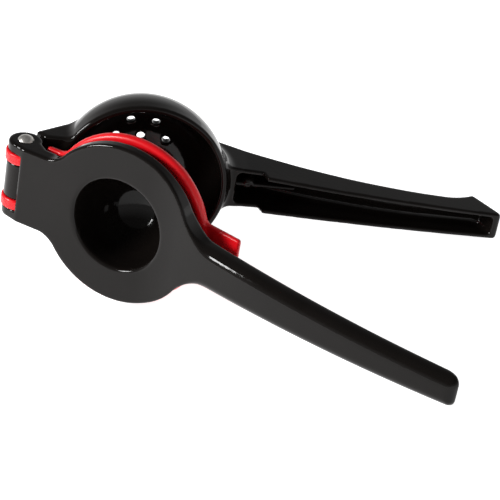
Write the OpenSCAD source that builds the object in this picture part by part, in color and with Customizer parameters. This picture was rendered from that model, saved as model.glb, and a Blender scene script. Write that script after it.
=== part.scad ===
// Hand citrus press: two long arms and a cup insert that turn on one rivet.
// The press lies on its side. +Z is up from the surface that it lies on, +X runs from the
// hinge towards the handle ends, midway between the arms, and -Y is the side of the ram arm.
//
// Every piece is drawn in one "stack" frame, in which the press is closed and upright:
// x (called u) runs from the rivet along the arm, y (called w) runs along the rivet, and z points
// out of the bowl, towards the ram arm. placed() swings each piece open and lays it on its side.

/* [Pose] */
// Angle between the two arms as the press lies open
open_angle = 31; // [20:0.5:60]
// Angle by which the insert hangs back from the ram arm
insert_gap_angle = 1.4; // [1:0.1:4]
// Lean of the rivet, set by where the rims and the handle ends touch the surface
lean = 12; // [10:0.1:13]

/* [Hinge] */
// Shank diameter of the rivet
rivet_d = 5; // [4:0.1:6]
// Diameter of the rivet's domed heads
rivet_head_d = 7.4; // [6.5:0.1:9]
// Height of each domed head
rivet_head_h = 2; // [1:0.1:3]
// Half of the hinge's width along the rivet
hinge_half = 19.1; // [18:0.1:21]
// Thickness of each of the ram arm's two ears
ear_t = 4.9; // [4:0.1:6]
// Thickness of each of the insert's two lugs
lug_t = 4.9; // [4:0.1:5.5]
// Radius of the ears and of the bowl arm's knuckle about the rivet
knuckle_r = 7.7; // [7:0.1:8.2]
// Radius of the insert's lugs about the rivet
lug_r = 8.5; // [8:0.1:8.8]
// Gap between neighbouring hinge faces
side_gap = 0.1; // [0.05:0.01:0.2]
// Radial gap around the turning rivet
bore_gap = 0.05; // [0.02:0.01:0.09]

/* [Ram arm] */
// Distance from the rivet to the centre of the bowl, the insert and the ram
head_u = 55; // [53:0.1:58]
// Outer radius of the flat plate
plate_r = 38.5; // [36:0.1:39]
// Outer face of the plate above the rivet's axis
plate_top = 9; // [8.8:0.1:10]
// Thickness of the plate
plate_t = 6; // [5:0.1:6.5]
// Mouth radius of the hollow ram
ram_mouth_r = 22; // [20:0.1:24]
// Wall thickness of the ram
ram_wall = 3; // [2.5:0.1:3.5]
// Depth of the ram's hollow below the plate's outer face
ram_depth = 33; // [28:0.5:34]
// Distance from the rivet to the end of the ram arm's handle
ram_arm_end = 229.5; // [220:1:235]
// Half-width of the handle where it leaves the plate
ram_handle_root = 10.2; // [9:0.1:12]
// Half-width of the handle at its end
ram_handle_tip = 7; // [6.5:0.1:8]
// Depth of the handle where it leaves the plate
ram_handle_depth = 10.2; // [9:0.1:12]
// Radius along the handle's outer edges
ram_handle_round = 5; // [3:0.1:6]

/* [Bowl arm] */
// Outer radius of the bowl
bowl_r = 39.8; // [39:0.1:42]
// Wall thickness of the bowl
bowl_wall = 3; // [2.5:0.1:3.5]
// Rim of the bowl, measured from the rivet's axis
rim_z = -3.4; // [-4:0.1:-3]
// Depth of the bowl's inside below its rim
bowl_depth_in = 38.4; // [37:0.1:40]
// Depth of the straight part of the bowl's wall
bowl_straight = 5.4; // [4:0.1:7]
// Diameter of the bowl's drain holes
drain_d = 4; // [3:0.1:5]
// Distance between drain holes in a row
drain_pitch = 12.1; // [11:0.1:14]
// Distance between rows of drain holes
drain_row = 9.8; // [9:0.1:11]
// Distance from the rivet to the end of the bowl arm's handle
bowl_arm_end = 225; // [218:0.5:230]
// Half-width of the handle where it leaves the bowl
bowl_handle_root = 9.9; // [8.5:0.1:11]
// Half-width of the handle at its end
bowl_handle_tip = 6.6; // [6:0.1:8]
// Wall thickness of the hollow handle
handle_wall = 2; // [1.8:0.1:3]

/* [Insert] */
// Outer radius of the insert's rolled rim
ring_r = 39.6; // [39:0.1:41]
// Height of the rolled rim
ring_h = 4.6; // [4:0.1:5]
// Inner radius of the insert's cup
cup_r = 29; // [28.5:0.1:30]
// Wall thickness of the cup
cup_wall = 2.2; // [1.8:0.1:2.6]
// Distance from the rivet to the end of the thumb tab
tab_end = 111.5; // [106:0.5:111.5]
// Half of the tab's width
tab_half = 11; // [8:0.5:12]
// Thickness of the tab and of the insert's flat flange
tab_t = 2.8; // [2.4:0.1:3.2]

/* [Hidden] */

enamel = [0.10, 0.095, 0.09];
red_plastic = [0.85, 0.10, 0.10];
steel = [0.70, 0.69, 0.67];
round_fn = 96;
shell_fn = 128;

// Where the stack frame's origin lies in the finished frame: the middle of the press's length
// and width, and the height at which the insert's rim just touches the surface.
centre_x = 100.8;
centre_y = -10.5;
rest_height = 51.3;

// Hinge stack, from the middle outwards: knuckle, insert lug, ear.
ear_inner = hinge_half - ear_t;
lug_outer = ear_inner - side_gap;
lug_inner = lug_outer - lug_t;
knuckle_half = lug_inner - side_gap;
turning_r = rivet_d / 2 + bore_gap;
relief_r = lug_r + 0.4;

// Plate and ram
plate_bottom = plate_top - plate_t;
plate_edge_u = 4;
block_end_u = 21;
ear_low = 1.8;
notch_r = 4;
mouth_bevel = 1.5;
ram_ball_r = ram_mouth_r - 0.5;
ram_ball_z = plate_top - ram_depth + ram_ball_r;

// Bowl and insert
bowl_inner_r = bowl_r - bowl_wall;
bowl_ball_z = rim_z - bowl_straight;
rim_bevel = 1;
inside_depth = bowl_depth_in - bowl_straight;
neck_half = 18.6;
neck_start = 10.5;
neck_end = 25;
flange_top = rim_z + tab_t;
ring_tube_r = ring_h / 2;
cup_ball_z = rim_z - 0.6;
cup_vent_d = 3.6;
cup_vent_ring = 11;
tab_slope = 12;

// Handles: how far they bow away from a straight line along u
ram_face_u = 77;
ram_face_slope = 0.285;
ram_face_bow = 0.00083;
bowl_edge_u = 125;
bowl_edge_z = -2.85;
bowl_edge_slope = 0.108;
bowl_edge_bow = 0.00052;
seat_start = 92;
seat_end = 112;
seat_z = -9;
hook_u = 213;
hook_rise = 4.5;
hollow_start = 101;
hollow_end = 221;

// Outer face of the ram arm's handle
function ram_face(u) =
    plate_top + ram_face_slope * (u - ram_face_u) - ram_face_bow * pow(u - ram_face_u, 2);
function ram_depth_at(u) = ram_handle_depth - 1.6 * (u - 95) / (ram_arm_end - 95);
function ram_half(u) = ram_handle_root + (ram_handle_tip - ram_handle_root) * (u - 95) / (ram_arm_end - 95);
// Open edge of the bowl arm's handle, which faces the ram arm
function bowl_edge(u) =
    bowl_edge_z + bowl_edge_slope * (u - bowl_edge_u) - bowl_edge_bow * pow(u - bowl_edge_u, 2);
// Depth of the bowl arm's handle: it braces the bowl, then thins, then hooks at its end
function brace_depth(u) = 12.5 + 14.5 * pow(max(0, 1 - (u - seat_start) / 100), 1.8);
function bowl_depth(u) = brace_depth(u) + hook_rise * pow(max(0, 1 - abs(hook_u - u) / 14), 2);

function arc(c, r, a0, a1, n) =
    [for (i = [0:n]) c + r * [cos(a0 + (a1 - a0) * i / n), sin(a0 + (a1 - a0) * i / n)]];
function mirrored(p) = concat(p, [for (i = [len(p) - 1:-1:0]) [p[i][0], -p[i][1]]]);

// Swings a piece of the closed stack by angle about the rivet and lays the press down.
module placed(angle) {
    translate([-centre_x, -centre_y, rest_height])
        rotate([0, lean, 0])
            rotate([0, 0, angle])
                rotate([90, 0, 0])
                    children();
}

// A side view in (u, z), thickened to half on each side of the middle plane
module across(half) {
    translate([0, half, 0])
        rotate([90, 0, 0])
            linear_extrude(height = 2 * half)
                children();
}

// A round about the rivet's axis, from w0 to w1
module about_rivet(r, w0, w1) {
    translate([0, w1, 0])
        rotate([90, 0, 0])
            cylinder(r = r, h = w1 - w0, $fn = round_fn);
}

// A plan view in (u, w), tall enough for the whole press
module tall() {
    translate([0, 0, -60])
        linear_extrude(height = 120)
            children();
}

// The ram arm's handle, drawn through its section at each u in us; the end closes in by trim.
module ram_bar(us, trim) {
    corner = 4;
    back_r = 2;
    function section(u, t) =
        let (h = ram_half(u) - t, z = ram_face(u) - t, r = ram_handle_round - t)
        let (low = ram_face(u) - ram_depth_at(u) + t + back_r)
        concat(
            [for (p = arc([h - r, z - r], r, 0, 90, corner)) [u, p[0], p[1]]],
            [for (p = arc([r - h, z - r], r, 90, 180, corner)) [u, p[0], p[1]]],
            [for (p = arc([back_r - h, low], back_r, 180, 270, corner)) [u, p[0], p[1]]],
            [for (p = arc([h - back_r, low], back_r, 270, 360, corner)) [u, p[0], p[1]]]);
    rings = [for (k = [0:len(us) - 1]) section(us[k], trim[k])];
    n = len(rings[0]);
    last = len(rings) - 1;
    polyhedron(
        points = [for (ring = rings) for (p = ring) p],
        faces = concat(
            [[for (i = [0:n - 1]) i]],
            [for (k = [0:last - 1]) for (i = [0:n - 1])
                [k * n + i, (k + 1) * n + i, (k + 1) * n + (i + 1) % n, k * n + (i + 1) % n]],
            [[for (i = [n - 1:-1:0]) last * n + i]]));
}

// --- Bowl arm -----------------------------------------------------------------------------

module bowl_shell() {
    flat_out = inside_depth + bowl_wall;
    turn_out = -asin(flat_out / bowl_r);
    rotate_extrude($fn = shell_fn)
        polygon(concat(
            [[0, bowl_ball_z - flat_out]],
            arc([0, bowl_ball_z], bowl_r, turn_out, 0, 20),
            [[bowl_r, rim_z - rim_bevel], [bowl_r - rim_bevel, rim_z],
             [bowl_inner_r + rim_bevel, rim_z], [bowl_inner_r, rim_z - rim_bevel]],
            [for (p = arc([0, 0], 1, 0, -88, 24)) [bowl_inner_r * p[0], bowl_ball_z + inside_depth * p[1]]],
            [[0, bowl_ball_z - inside_depth]]));
}

// The space inside the bowl, with a little less than its wall taken in
module bowl_core() {
    translate([head_u, 0, bowl_ball_z]) {
        sphere(r = bowl_r - 1, $fn = round_fn);
        cylinder(r = bowl_r - 1, h = 30, $fn = round_fn);
    }
}

// Four rows of holes, the outer rows shorter and set half a pitch along
module drain_holes() {
    for (side = [-1, 1], spot = [[-1, 0.5], [0, 0.5], [1, 0.5], [-0.5, 1.5], [0.5, 1.5]])
        translate([head_u + spot[0] * drain_pitch, side * spot[1] * drain_row, bowl_ball_z - bowl_r - 1])
            cylinder(d = drain_d, h = 20, $fn = 32);
}

module bowl_handle() {
    us = [for (u = [seat_end + 3:8:hook_u - 10]) u];
    stations = [hook_u, 208, 203, 195, 180, 165, 150, 135, 120, 107, 98, 90, 80];
    back = [for (u = stations) [u, bowl_edge(u) - bowl_depth(u)]];
    tip = bowl_edge(bowl_arm_end);
    intersection() {
        across(30) polygon(concat(
            [[80, seat_z], [seat_end - 1, seat_z], [seat_end + 1.5, bowl_edge(seat_end) - 1]],
            [for (u = us) [u, bowl_edge(u)]],
            [[bowl_arm_end - 2, tip], [bowl_arm_end, tip - 2], [bowl_arm_end, tip - 5]],
            back));
        tall() polygon(mirrored([[80, bowl_handle_root + 1.5], [head_u + bowl_r, bowl_handle_root + 0.6],
            [104, bowl_handle_root], [150, 8.4], [195, 7.2],
            [bowl_arm_end - 2, bowl_handle_tip], [bowl_arm_end, bowl_handle_tip - 2]]));
    }
}

module handle_hollow() {
    us = [for (u = [hollow_start:7:hook_u]) u];
    tip = bowl_edge(bowl_arm_end);
    intersection() {
        across(30) polygon(concat(
            [[hollow_start, 6], [hollow_end, 6], [hollow_end, tip - 5]],
            [for (i = [len(us) - 1:-1:0]) [us[i], bowl_edge(us[i]) - brace_depth(us[i]) + handle_wall]]));
        tall() polygon(mirrored([[hollow_start, bowl_handle_root - handle_wall], [150, 8.4 - handle_wall],
            [195, 7.2 - handle_wall], [hollow_end, bowl_handle_tip - handle_wall]]));
    }
}

module bowl_arm() {
    color(enamel) placed(open_angle / 2) difference() {
        union() {
            translate([head_u, 0, 0]) bowl_shell();
            about_rivet(knuckle_r, -knuckle_half, knuckle_half);
            across(knuckle_half)
                polygon([[-1, -7.6], [5, -9.6], [20, -14], [20, -4.6], [10.5, -3.8], [4.8, 6]]);
            difference() {
                union() {
                    across(hinge_half) polygon([[4.7, -9.4], [8.8, -4.4], [24, -4.4], [32, -30]]);
                    bowl_handle();
                }
                bowl_core();
            }
        }
        handle_hollow();
        about_rivet(turning_r, -hinge_half, hinge_half);
        drain_holes();
    }
}

// --- Squeeze insert -----------------------------------------------------------------------

module insert_cup() {
    rotate_extrude($fn = shell_fn)
        polygon(concat(
            [[0, cup_ball_z - cup_r]],
            arc([0, cup_ball_z], cup_r, -88, 0, 20),
            [[cup_r, flange_top], [ring_r - ring_tube_r, flange_top]],
            arc([ring_r - ring_tube_r, rim_z + ring_tube_r], ring_tube_r, 90, -90, 10),
            [[cup_r + cup_wall, rim_z]],
            arc([0, cup_ball_z], cup_r + cup_wall, 0, -88, 20),
            [[0, cup_ball_z - cup_r - cup_wall]]));
}

// Drawn as a lug disc with an arm that runs to the ring
module insert_lug() {
    about_rivet(lug_r, -lug_t / 2, lug_t / 2);
    across(lug_t / 2)
        polygon([[0, rim_z], [24, rim_z], [24, flange_top], [11, flange_top], [6, 6], [0, 4]]);
}

module thumb_tab() {
    root = head_u + ring_r - 4;
    intersection() {
        translate([root, 0, rim_z]) rotate([0, -tab_slope, 0]) translate([-1, -tab_half, 0])
            cube([tab_end - root + 10, 2 * tab_half, tab_t]);
        tall() polygon([[root - 5, -20], [tab_end, -20], [tab_end, 20], [root - 5, 20]]);
    }
}

module vents() {
    translate([head_u, 0, -60]) {
        cylinder(d = cup_vent_d, h = 50, $fn = 32);
        for (i = [0:5])
            rotate(i * 60) translate([cup_vent_ring, 0, 0]) cylinder(d = cup_vent_d, h = 50, $fn = 32);
    }
}

module squeeze_insert() {
    color(red_plastic) placed(insert_gap_angle - open_angle / 2) difference() {
        union() {
            translate([head_u, 0, 0]) insert_cup();
            thumb_tab();
            translate([neck_start, -neck_half, rim_z]) cube([neck_end - neck_start, 2 * neck_half, tab_t]);
            for (side = [-1, 1])
                translate([0, side * (lug_inner + lug_outer) / 2, 0]) insert_lug();
        }
        about_rivet(turning_r, -hinge_half, hinge_half);
        vents();
    }
}

// --- Ram arm ------------------------------------------------------------------------------

module plate_outline() {
    offset(r = -notch_r) offset(delta = notch_r) {
        translate([head_u, 0]) circle(r = plate_r, $fn = shell_fn);
        translate([plate_edge_u, -hinge_half]) square([block_end_u, 2 * hinge_half]);
        translate([80, -ram_handle_root]) square([20, 2 * ram_handle_root]);
    }
}

// Half of the ram's section: the ball of radius r, and a straight wall of radius wall up to top
module ram_section(r, wall, top) {
    polygon(concat([[0, ram_ball_z - r]], arc([0, ram_ball_z], r, -88, 0, 20), [[wall, top], [0, top]]));
}

module ear() {
    across(ear_t / 2)
        polygon(concat(arc([0, 0], knuckle_r, -15, -260, 28),
            [[4, plate_top], [block_end_u, plate_top], [block_end_u, ear_low], [12.2, ear_low - 0.3]]));
}

module ram_arm() {
    color(enamel) placed(-open_angle / 2) difference() {
        union() {
            translate([0, 0, plate_bottom]) linear_extrude(height = plate_t) plate_outline();
            translate([head_u, 0, 0]) rotate_extrude($fn = shell_fn)
                ram_section(ram_ball_r + ram_wall, ram_mouth_r + ram_wall, plate_bottom + 1);
            ram_bar(
                [for (u = [84:8:ram_arm_end - 8]) u, ram_arm_end - 4, ram_arm_end - 1.2, ram_arm_end],
                [for (u = [84:8:ram_arm_end - 8]) 0, 0.4, 1.6, 3]);
            for (side = [-1, 1])
                translate([0, side * (hinge_half - ear_t / 2), 0]) ear();
        }
        about_rivet(relief_r, -ear_inner, ear_inner);
        about_rivet(rivet_d / 2, -hinge_half - 1, hinge_half + 1);
        translate([head_u, 0, 0]) rotate_extrude($fn = shell_fn) {
            ram_section(ram_ball_r, ram_mouth_r, plate_top + 20);
            polygon([[0, plate_top - mouth_bevel], [ram_mouth_r, plate_top - mouth_bevel],
                [ram_mouth_r + mouth_bevel, plate_top], [ram_mouth_r + mouth_bevel, plate_top + 20],
                [0, plate_top + 20]]);
        }
    }
}

// --- Rivet --------------------------------------------------------------------------------

module rivet_head() {
    dome_r = (pow(rivet_head_d / 2, 2) + pow(rivet_head_h, 2)) / (2 * rivet_head_h);
    intersection() {
        translate([0, hinge_half + rivet_head_h - dome_r, 0]) sphere(r = dome_r, $fn = round_fn);
        about_rivet(dome_r, hinge_half, hinge_half + rivet_head_h + 1);
    }
}

module hinge_rivet() {
    color(steel) placed(-open_angle / 2) {
        about_rivet(rivet_d / 2, -hinge_half - 0.5, hinge_half + 0.5);
        for (turn = [0, 180])
            rotate([turn, 0, 0]) rivet_head();
    }
}

bowl_arm();
squeeze_insert();
ram_arm();
hinge_rivet();
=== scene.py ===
"""Looks of the hand citrus press: each piece's shape again, with the fillets of a casting or moulding."""
import bpy
import numpy as np
from mathutils import Matrix, Vector


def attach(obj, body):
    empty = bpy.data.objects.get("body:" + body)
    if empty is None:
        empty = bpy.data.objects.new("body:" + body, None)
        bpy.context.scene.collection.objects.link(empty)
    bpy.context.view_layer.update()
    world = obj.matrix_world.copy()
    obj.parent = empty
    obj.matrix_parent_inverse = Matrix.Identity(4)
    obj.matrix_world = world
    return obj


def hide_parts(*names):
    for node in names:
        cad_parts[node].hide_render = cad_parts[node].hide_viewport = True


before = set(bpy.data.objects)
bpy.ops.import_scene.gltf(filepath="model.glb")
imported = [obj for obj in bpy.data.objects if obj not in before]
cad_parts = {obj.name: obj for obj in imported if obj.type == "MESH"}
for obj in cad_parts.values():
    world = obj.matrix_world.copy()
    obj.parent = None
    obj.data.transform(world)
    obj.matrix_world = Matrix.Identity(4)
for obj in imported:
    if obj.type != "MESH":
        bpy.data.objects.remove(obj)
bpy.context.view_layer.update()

# ---------------------------------------------------------------- the press's own numbers, in mm
# The stack frame is that of the closed press: u along the arm from the rivet, w along the rivet,
# z out of the bowl towards the ram arm. Each piece is modelled there and laid in its place.
OPEN_ANGLE, GAP_ANGLE, LEAN = 31.0, 1.4, 12.0
REST = np.array([-100.8, 10.5, 51.3])
HEAD_U = 55.0
HINGE_HALF, EAR_T, LUG_T, SIDE_GAP = 19.1, 4.9, 4.9, 0.1
KNUCKLE_R, LUG_R, BORE_R = 7.7, 8.5, 2.55
EAR_IN = HINGE_HALF - EAR_T
LUG_OUT = EAR_IN - SIDE_GAP
LUG_IN = LUG_OUT - LUG_T
KNUCKLE_HALF = LUG_IN - SIDE_GAP
PLATE_R, PLATE_TOP, PLATE_BOTTOM, PLATE_EDGE = 38.5, 9.0, 3.0, 4.0
EAR_LOW = 1.8
RAM_IN, RAM_OUT, RAM_Z = 21.7, 24.8, -2.2
RAM_START, RAM_END = 95.0, 229.5
RAM_ROOT, RAM_TIP = 10.2, 7.0
RAM_DEPTH, RAM_THINNING = 10.2, 1.6
RAM_RISE_U, RAM_SLOPE, RAM_BOW = 77.0, 0.285, 0.00083
RIM_Z, BOWL_R, BOWL_WALL, BOWL_Z = -3.4, 39.8, 3.0, -8.8
BOWL_FLOOR = -41.8
BOWL_END, HOLLOW_START, HOLLOW_END, WALL = 225.0, 99.5, 221.5, 2.0
EDGE_U, EDGE_Z, EDGE_SLOPE, EDGE_BOW = 125.0, -2.85, 0.108, 0.00052
BRACE_U, BRACE_LENGTH, BRACE_DEPTH, BACK_DEPTH = 92.0, 100.0, 14.5, 12.5
SEAT_Z, SEAT_END = -9.0, 112.0
HOOK_U, HOOK_RISE, HOOK_REACH = 213.0, 4.5, 14.0
BOSS_U, BOSS_W, BOSS_R = 105.5, 0.6, 3.0
DRAIN_R, DRAIN_PITCH, DRAIN_ROW = 2.0, 12.1, 9.8
RING_R, RING_H, CUP_IN, CUP_WALL, CUP_Z = 39.6, 4.6, 29.0, 2.2, -4.0
TAB_END, TAB_HALF, TAB_T, TAB_TILT = 111.5, 11.0, 2.8, 12.0
FLANGE_TOP = RIM_Z + TAB_T
NECK_START, NECK_END, NECK_HALF = 10.5, 27.0, 18.6
VENT_R, VENT_RING, VENTS_ROUND = 1.8, 11.0, 6

# Surfaces: the grid's cell, how often a point is moved onto the surface and how far at most, in mm
GRID = 0.8
SETTLING_STEPS, SETTLING_LIMIT = 4, 0.35
SLOPE_SPAN = 0.02


def turn(axis, degrees):
    return np.array(Matrix.Rotation(np.radians(degrees), 3, axis))


def place(points, angle):
    """Points of the stack frame, in mm, as they lie in the row frame, in metres."""
    laid = turn("Y", LEAN) @ turn("Z", angle) @ turn("X", 90)
    return (points @ laid.T + REST) / 1000.0


# ---------------------------------------------------------------- distance functions
def both(a, b, r=0.0):
    """Where both shapes are; the edge between them is rounded by r."""
    if np.isscalar(r) and r == 0:
        return np.maximum(a, b)
    x, y = np.maximum(a + r, 0), np.maximum(b + r, 0)
    return np.minimum(np.maximum(a, b), -r) + np.hypot(x, y)


def either(a, b, r=0.0):
    """Where either shape is; the corner between them is filled by a fillet of r."""
    return -both(-a, -b, r)


def cut(a, b, r=0.0):
    return both(a, -b, r)


def soft_max(a, b, k):
    h = np.maximum(k - np.abs(a - b), 0) / k
    return np.maximum(a, b) + h * h * k / 4


def slab(x, lo, hi, r=0.0):
    return both(lo - x, x - hi, r)


def flat_shape(x, y, corners):
    """Distance to a polygon, below zero inside it."""
    corners = np.asarray(corners, float)
    best = np.full(x.shape, 1e9)
    inside = np.zeros(x.shape, bool)
    for (ax, ay), (bx, by) in zip(corners, np.roll(corners, -1, 0)):
        ex, ey = bx - ax, by - ay
        t = np.clip(((x - ax) * ex + (y - ay) * ey) / (ex * ex + ey * ey), 0, 1)
        best = np.minimum(best, (x - ax - t * ex) ** 2 + (y - ay - t * ey) ** 2)
        crossing = (ay > y) != (by > y)
        if ey:
            inside ^= crossing & (x < ax + (y - ay) * ex / ey)
    return np.where(inside, -1, 1) * np.sqrt(best)


def step(u, start, end):
    t = np.clip((u - start) / (end - start), 0, 1)
    return t * t * (3 - 2 * t)


def cup_distance(rho, z, centre_z):
    """Distance from a sphere's centre below centre_z, and from its axis above it."""
    return np.hypot(rho, np.minimum(z - centre_z, 0))


# ---------------------------------------------------------------- the four pieces
def ram_face(u):
    """Outer face of the plate and, past it, of the handle."""
    bowed = PLATE_TOP + RAM_SLOPE * (u - RAM_RISE_U) - RAM_BOW * (u - RAM_RISE_U) ** 2
    return np.where(u < 120, soft_max(np.full_like(u, PLATE_TOP), np.where(u < 60, 0, bowed), 2.6), bowed)


def ram_arm(u, w, z):
    aw = np.abs(w)
    rho = np.hypot(u - HEAD_U, w)
    along = (u - RAM_START) / (RAM_END - RAM_START)
    half = RAM_ROOT - (RAM_ROOT - RAM_TIP) * along
    block = both(slab(u, PLATE_EDGE, 40), aw - HINGE_HALF)
    plan = either(rho - PLATE_R, block, 4.5)
    bar = both(both(aw - half, u - RAM_END, 3.5), 70 - u)
    plan = either(plan, bar, 9.5)
    top = ram_face(u)
    depth = RAM_DEPTH - RAM_THINNING * along
    under = soft_max(np.full_like(u, PLATE_BOTTOM), np.where(u < 80, 0, top - depth), 1.5)
    edge = 1.1 + 3.9 * step(u, 90, 106)
    body = both(plan, z - top, edge)
    body = both(body, under - z, 1.2 + 1.3 * step(u, 90, 104))
    body = both(body, (u - 223) * 0.55 - (z - under) * 0.83 - 0.4, 2.0)
    bulb = both(cup_distance(rho, z, RAM_Z) - RAM_OUT, z - PLATE_BOTTOM - 1)
    body = either(body, bulb, 1.5)
    turns = np.radians(np.linspace(-15, -260, 34))
    side = [(KNUCKLE_R * np.cos(a), KNUCKLE_R * np.sin(a)) for a in turns]
    side += [(4, PLATE_TOP), (21, PLATE_TOP), (21, EAR_LOW), (12.2, EAR_LOW - 0.3)]
    ear = both(flat_shape(u, z, side), aw - HINGE_HALF, 1.2)
    pin = np.hypot(u, z)
    body = np.minimum(body, ear)
    body = cut(body, np.maximum(pin - LUG_R - 0.4, aw - EAR_IN), 0.5)
    body = cut(body, pin - BORE_R, 0.4)
    return cut(body, cup_distance(rho, z, RAM_Z) - RAM_IN, 1.8)


def squeeze_insert(u, w, z):
    aw = np.abs(w)
    rho = np.hypot(u - HEAD_U, w)
    pin = np.hypot(u, z)
    ring = both(rho - RING_R, np.abs(z - RIM_Z - RING_H / 2) - RING_H / 2, 1.9)
    ring = both(ring, RING_R - RING_H - rho, 1.9)
    flange = both(slab(rho, CUP_IN, RING_R - 2), slab(z, RIM_Z, FLANGE_TOP))
    middle = cup_distance(rho, z, CUP_Z) - CUP_IN - CUP_WALL / 2
    cup = both(np.abs(middle) - CUP_WALL / 2, z - FLANGE_TOP, 0.8)
    body = either(either(ring, flange, 1.0), cup, 1.0)
    rise = z - RIM_Z - np.tan(np.radians(TAB_TILT)) * (u - HEAD_U - RING_R + 4)
    tab = both(both(slab(u, 88, TAB_END), aw - TAB_HALF, 1.2), slab(rise, 0.1, TAB_T), 0.8)
    body = either(body, tab, 1.5)
    bar = flat_shape(u, z, [(0, RIM_Z), (26, RIM_Z), (26, FLANGE_TOP), (11, FLANGE_TOP), (6, 6), (0, 4)])
    lug = both(either(pin - LUG_R, bar, 2.0), slab(aw, LUG_IN, LUG_OUT), 0.6)
    body = either(body, lug, 0.6)
    neck = both(both(slab(u, NECK_START, NECK_END), aw - NECK_HALF, 1.5), slab(z, RIM_Z, FLANGE_TOP), 0.7)
    neck = cut(neck, rho - CUP_IN)
    body = either(body, neck, 3.0)
    # Trims at the lugs' top, beside the lugs and under the rim, outside the cup
    body = cut(body, both(both(LUG_R + 0.3 - pin, RIM_Z + RING_H - z), u - 14))
    body = cut(body, both(u - NECK_START, -slab(aw, LUG_IN, LUG_OUT)))
    body = cut(body, both(both(z - RIM_Z - 0.1, 33.5 - rho), 9 - u))
    body = cut(body, pin - BORE_R, 0.3)
    for i in range(VENTS_ROUND + 1):
        a = np.radians(360 / VENTS_ROUND * i)
        r = 0 if i == VENTS_ROUND else VENT_RING
        hole = np.hypot(u - HEAD_U - r * np.cos(a), w - r * np.sin(a)) - VENT_R
        body = cut(body, np.maximum(hole, z + 20), 0.4)
    return body


def bowl_edge(u):
    """Open edge of the bowl arm's handle."""
    return EDGE_Z + EDGE_SLOPE * (u - EDGE_U) - EDGE_BOW * (u - EDGE_U) ** 2


def bowl_back(u):
    """Back of the bowl arm's handle, deepest where it braces the bowl."""
    brace = np.clip(1 - (u - BRACE_U) / BRACE_LENGTH, 0, None) ** 1.8
    return bowl_edge(u) - BACK_DEPTH - BRACE_DEPTH * brace


def hooked_back(u):
    return bowl_back(u) - HOOK_RISE * np.clip(1 - np.abs(HOOK_U - u) / HOOK_REACH, 0, None) ** 2


def bowl_arm(u, w, z):
    aw = np.abs(w)
    rho = np.hypot(u - HEAD_U, w)
    pin = np.hypot(u, z)
    reach = cup_distance(rho, z, BOWL_Z)
    inner_r = BOWL_R - BOWL_WALL
    stretch = inner_r / (BOWL_Z - BOWL_FLOOR)
    inner = np.hypot(rho, np.minimum(z - BOWL_Z, 0) * stretch) - inner_r
    half = np.interp(u, [80, 95, 104, 150, 195, 223, BOWL_END], [11.4, 10.5, 9.9, 8.4, 7.2, 6.6, 6.2])
    top = bowl_edge(u)
    rim = SEAT_Z + (top - SEAT_Z) * step(u, SEAT_END - 1, SEAT_END + 1.6)
    back, floor = hooked_back(u), bowl_back(u) + WALL
    beam = both(both(aw - half, u - BOWL_END, 1.8), z - rim, 0.8)
    beam = both(beam, (u - 223.5) * 0.7 + (z - top) * 0.7, 1.0)
    bevel = (u - HOOK_U) * 0.8 - (z - hooked_back(np.float64(HOOK_U))) * 0.6
    beam = both(both(beam, bevel, 1.0), back - z, 1.8)
    beam = both(beam, 60 - u)
    outer = both(both(reach - BOWL_R, BOWL_FLOOR - BOWL_WALL - z, 8), z - RIM_Z, 1.4)
    neck = flat_shape(u, z, [(4.7, -9.4), (8.8, -4.4), (24, -4.4), (40, -8), (40, -34), (32, -30)])
    neck = both(neck, aw - HINGE_HALF, 1.3)
    body = either(either(outer, neck, 2.5), beam, 5.0)
    body = cut(body, inner, 1.4)
    knuckle = both(pin - KNUCKLE_R, aw - KNUCKLE_HALF, 0.5)
    web = flat_shape(u, z, [(-1, -7.6), (5, -9.6), (20, -14), (16, -4.6), (10.5, -3.8), (4.8, 6)])
    web = both(web, aw - KNUCKLE_HALF, 0.5)
    body = np.minimum(body, either(knuckle, web, 1.0))
    hollow = both(aw - half + WALL, slab(u, HOLLOW_START, HOLLOW_END), 2.5)
    hollow = both(both(hollow, floor - z, 2.5), bevel + 2.2, 2.5)
    body = cut(body, hollow, 0.9)
    rib = both(aw - 1.1, slab(u, 99, 128), 0.0)
    boss = np.hypot(u - BOSS_U, w - BOSS_W) - BOSS_R
    rib = np.maximum(np.minimum(both(rib, z + 13.2, 0.8), both(boss, z + 12.6, 2.4)), floor - 1.5 - z)
    body = np.minimum(body, rib)
    body = cut(body, pin - BORE_R, 0.3)
    for along, row in ((-1, 0.5), (0, 0.5), (1, 0.5), (-0.5, 1.5), (0.5, 1.5)):
        hole = np.hypot(u - HEAD_U - along * DRAIN_PITCH, aw - row * DRAIN_ROW) - DRAIN_R
        body = cut(body, np.maximum(hole, z + 20), 0.5)
    return body


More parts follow.
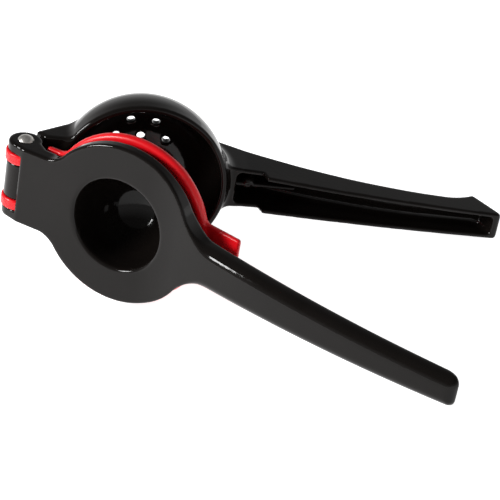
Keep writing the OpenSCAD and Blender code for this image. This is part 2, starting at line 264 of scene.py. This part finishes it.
# ---------------------------------------------------------------- surfaces from distances
def skin(shape, lo, hi):
    """Vertices and quads of a shape's surface: one vertex in each grid cell that it crosses."""
    ticks = [np.arange(a, b + GRID, GRID) for a, b in zip(lo, hi)]
    field = shape(*np.meshgrid(*ticks, indexing="ij"))
    inside = field < 0
    n = np.array(field.shape)
    total = np.zeros(tuple(n - 1) + (3,))
    count = np.zeros(tuple(n - 1))
    for axis in range(3):
        for one in (0, 1):
            for two in (0, 1):
                pick = [slice(None)] * 3
                others = [k for k in range(3) if k != axis]
                for k, shift in zip(others, (one, two)):
                    pick[k] = slice(shift, n[k] - 1 + shift)
                first, second = list(pick), list(pick)
                first[axis], second[axis] = slice(0, n[axis] - 1), slice(1, n[axis])
                a, b = field[tuple(first)], field[tuple(second)]
                crossed = (a < 0) != (b < 0)
                t = np.where(crossed, a / np.where(crossed, a - b, 1), 0)
                count += crossed
                total[..., axis] += np.where(crossed, t, 0)
                total[..., others[0]] += crossed * one
                total[..., others[1]] += crossed * two
    cells = np.argwhere(count > 0)
    index = np.full(tuple(n - 1), -1)
    index[tuple(cells.T)] = np.arange(len(cells))
    local = total[tuple(cells.T)] / count[tuple(cells.T)][:, None]
    points = np.array(lo) + (cells + local) * GRID
    quads = []
    for axis in range(3):
        b, c = (axis + 1) % 3, (axis + 2) % 3
        first = [slice(1, n[k] - 1) for k in range(3)]
        second = list(first)
        first[axis], second[axis] = slice(0, n[axis] - 1), slice(1, n[axis])
        start, end = inside[tuple(first)], inside[tuple(second)]
        spots = np.argwhere(start != end)
        spots += [0 if k == axis else 1 for k in range(3)]
        goes_out = inside[tuple(spots.T)]
        corners = []
        for db, dc in ((0, 0), (1, 0), (1, 1), (0, 1)):
            cell = spots.copy()
            cell[:, b] -= 1 - db
            cell[:, c] -= 1 - dc
            corners.append(index[tuple(cell.T)])
        ring = np.stack(corners, 1)
        ring[~goes_out] = ring[~goes_out][:, ::-1]
        quads.append(ring)
    for _ in range(SETTLING_STEPS):
        value = shape(*points.T)
        nudges = np.eye(3) * SLOPE_SPAN
        rises = [shape(*(points + d).T) - shape(*(points - d).T) for d in nudges]
        slope = np.stack(rises, 1) / (2 * SLOPE_SPAN)
        move = -(value / np.maximum((slope ** 2).sum(1), 0.2))[:, None] * slope
        points = points + np.clip(move, -SETTLING_LIMIT, SETTLING_LIMIT)
    return points, np.concatenate(quads)


def build(node, shape, lo, hi, angle, body, material):
    points, quads = skin(shape, lo, hi)
    mesh = bpy.data.meshes.new(node + "_surface")
    mesh.from_pydata(place(points, angle).tolist(), [], quads.tolist())
    mesh.validate()
    mesh.polygons.foreach_set("use_smooth", [True] * len(mesh.polygons))
    mesh.update()
    piece = bpy.data.objects.new(node + "_surface", mesh)
    bpy.context.scene.collection.objects.link(piece)
    mesh.materials.append(material)
    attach(piece, body)
    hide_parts(node)
    print(node, len(points), "points", len(quads), "quads")


# ---------------------------------------------------------------- materials
def new_material(name):
    material = bpy.data.materials.new(name)
    material.use_nodes = True
    nodes = material.node_tree.nodes
    return material, nodes, material.node_tree.links, nodes["Principled BSDF"]


def add_noise(nodes, links, scale, detail):
    place_node = nodes.new("ShaderNodeTexCoord")
    noise = nodes.new("ShaderNodeTexNoise")
    noise.inputs["Scale"].default_value = scale
    noise.inputs["Detail"].default_value = detail
    links.new(place_node.outputs["Object"], noise.inputs["Vector"])
    return noise


def add_ramp(nodes, links, source, low, high, start=0.3, end=0.7):
    ramp = nodes.new("ShaderNodeValToRGB")
    ramp.color_ramp.elements[0].position, ramp.color_ramp.elements[1].position = start, end
    ramp.color_ramp.elements[0].color, ramp.color_ramp.elements[1].color = (*low, 1), (*high, 1)
    links.new(source, ramp.inputs["Fac"])
    return ramp.outputs["Color"]


def add_bump(nodes, links, height, strength, distance, shader, socket="Normal"):
    bump = nodes.new("ShaderNodeBump")
    bump.inputs["Strength"].default_value = strength
    bump.inputs["Distance"].default_value = distance
    links.new(height, bump.inputs["Height"])
    links.new(bump.outputs["Normal"], shader.inputs[socket])


def black_enamel():
    material, nodes, links, shader = new_material("black_enamel")
    patches = add_noise(nodes, links, 45, 3)
    dark, light = (0.0035, 0.0027, 0.0023), (0.005, 0.004, 0.0035)
    colour = add_ramp(nodes, links, patches.outputs["Fac"], dark, light)
    links.new(colour, shader.inputs["Base Color"])
    rough = nodes.new("ShaderNodeMapRange")
    rough.inputs["To Min"].default_value, rough.inputs["To Max"].default_value = 0.05, 0.1
    links.new(patches.outputs["Fac"], rough.inputs["Value"])
    links.new(rough.outputs["Result"], shader.inputs["Roughness"])
    peel = add_noise(nodes, links, 420, 2)
    add_bump(nodes, links, peel.outputs["Fac"], 0.05, 0.0003, shader)
    shader.inputs["IOR"].default_value = 1.24
    return material


def red_plastic():
    material, nodes, links, shader = new_material("red_plastic")
    flow = add_noise(nodes, links, 30, 4)
    colour = add_ramp(nodes, links, flow.outputs["Fac"], (0.56, 0.003, 0.007), (0.66, 0.005, 0.01))
    links.new(colour, shader.inputs["Base Color"])
    grain = add_noise(nodes, links, 900, 3)
    rough = nodes.new("ShaderNodeMapRange")
    rough.inputs["To Min"].default_value, rough.inputs["To Max"].default_value = 0.28, 0.38
    links.new(grain.outputs["Fac"], rough.inputs["Value"])
    links.new(rough.outputs["Result"], shader.inputs["Roughness"])
    add_bump(nodes, links, grain.outputs["Fac"], 0.06, 0.0002, shader)
    shader.inputs["IOR"].default_value = 1.35
    shader.inputs["Subsurface Weight"].default_value = 0.08
    shader.inputs["Subsurface Radius"].default_value = (0.002, 0.0006, 0.0005)
    return material


def rivet_steel():
    material, nodes, links, shader = new_material("rivet_steel")
    scratch = add_noise(nodes, links, 700, 5)
    colour = add_ramp(nodes, links, scratch.outputs["Fac"], (0.52, 0.5, 0.47), (0.64, 0.62, 0.58))
    links.new(colour, shader.inputs["Base Color"])
    shader.inputs["Metallic"].default_value = 1.0
    rough = nodes.new("ShaderNodeMapRange")
    rough.inputs["To Min"].default_value, rough.inputs["To Max"].default_value = 0.28, 0.42
    links.new(scratch.outputs["Fac"], rough.inputs["Value"])
    links.new(rough.outputs["Result"], shader.inputs["Roughness"])
    add_bump(nodes, links, scratch.outputs["Fac"], 0.12, 0.0002, shader)
    return material


def pale_floor():
    material, nodes, links, shader = new_material("pale_floor")
    cloud = add_noise(nodes, links, 3, 2)
    colour = add_ramp(nodes, links, cloud.outputs["Fac"], (0.88, 0.88, 0.88), (0.9, 0.9, 0.9))
    links.new(colour, shader.inputs["Base Color"])
    shader.inputs["Roughness"].default_value = 0.7
    shader.inputs["Emission Color"].default_value = (1, 1, 1, 1)
    shader.inputs["Emission Strength"].default_value = 0.92
    return material


enamel, red, steel = black_enamel(), red_plastic(), rivet_steel()
half_open = OPEN_ANGLE / 2
build("bowl_arm", bowl_arm, (-9.2, -42, -51), (226.6, 42, 9.6), half_open,
      "bowl_arm", enamel)
build("squeeze_insert", squeeze_insert, (-10, -42, -37), (113.6, 42, 10), GAP_ANGLE - half_open,
      "insert", red)
build("ram_arm", ram_arm, (-9.2, -40, -29), (231, 40, 36), -half_open,
      "ram_arm", enamel)
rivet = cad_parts["hinge_rivet"]
for slot_of_rivet in rivet.material_slots:
    slot_of_rivet.material = steel

# ---------------------------------------------------------------- floor, light and camera
bpy.ops.mesh.primitive_plane_add(size=8, location=(0, 0, 0))
floor = bpy.context.object
floor.name = "floor"
floor.data.materials.append(pale_floor())

world = bpy.data.worlds.new("soft_white")
world.use_nodes = True
sky_nodes, sky_links = world.node_tree.nodes, world.node_tree.links
direction = sky_nodes.new("ShaderNodeTexCoord")
split = sky_nodes.new("ShaderNodeSeparateXYZ")
sky_links.new(direction.outputs["Generated"], split.inputs["Vector"])
dimming = add_ramp(sky_nodes, sky_links, split.outputs["Z"], (0.8, 0.8, 0.8), (0.2, 0.2, 0.2), 0.15, 0.55)
sky_links.new(dimming, sky_nodes["Background"].inputs["Color"])
bpy.context.scene.world = world


def softbox(name, place_at, look_at, width, height, watts):
    data = bpy.data.lights.new(name, "AREA")
    data.shape = "RECTANGLE"
    data.size, data.size_y, data.energy = width, height, watts
    lamp = bpy.data.objects.new(name, data)
    bpy.context.scene.collection.objects.link(lamp)
    lamp.location = place_at
    lamp.rotation_euler = (Vector(look_at) - Vector(place_at)).to_track_quat("-Z", "Y").to_euler()


softbox("key", (-0.76, -0.42, 0.55), (-0.03, -0.02, 0.04), 0.28, 0.26, 14)

# The camera stands on the ram arm's side and looks down at the press
camera_data = bpy.data.cameras.new("camera")
camera_data.lens, camera_data.sensor_width = 144.0, 36.0
camera = bpy.data.objects.new("camera", camera_data)
bpy.context.scene.collection.objects.link(camera)
forward = Vector((-0.1937, 0.8558, -0.4798)).normalized()
right = Vector((0.9796, 0.195, -0.0478))
right = (right - right.dot(forward) * forward).normalized()
up = right.cross(forward)
pose = Matrix((right, up, -forward)).transposed().to_4x4()
pose.translation = Vector((0.17981, -0.76671, 0.45466))
camera.matrix_world = pose
bpy.context.scene.camera = camera

view = bpy.context.scene.view_settings
view.view_transform, view.look = "Standard", "None"
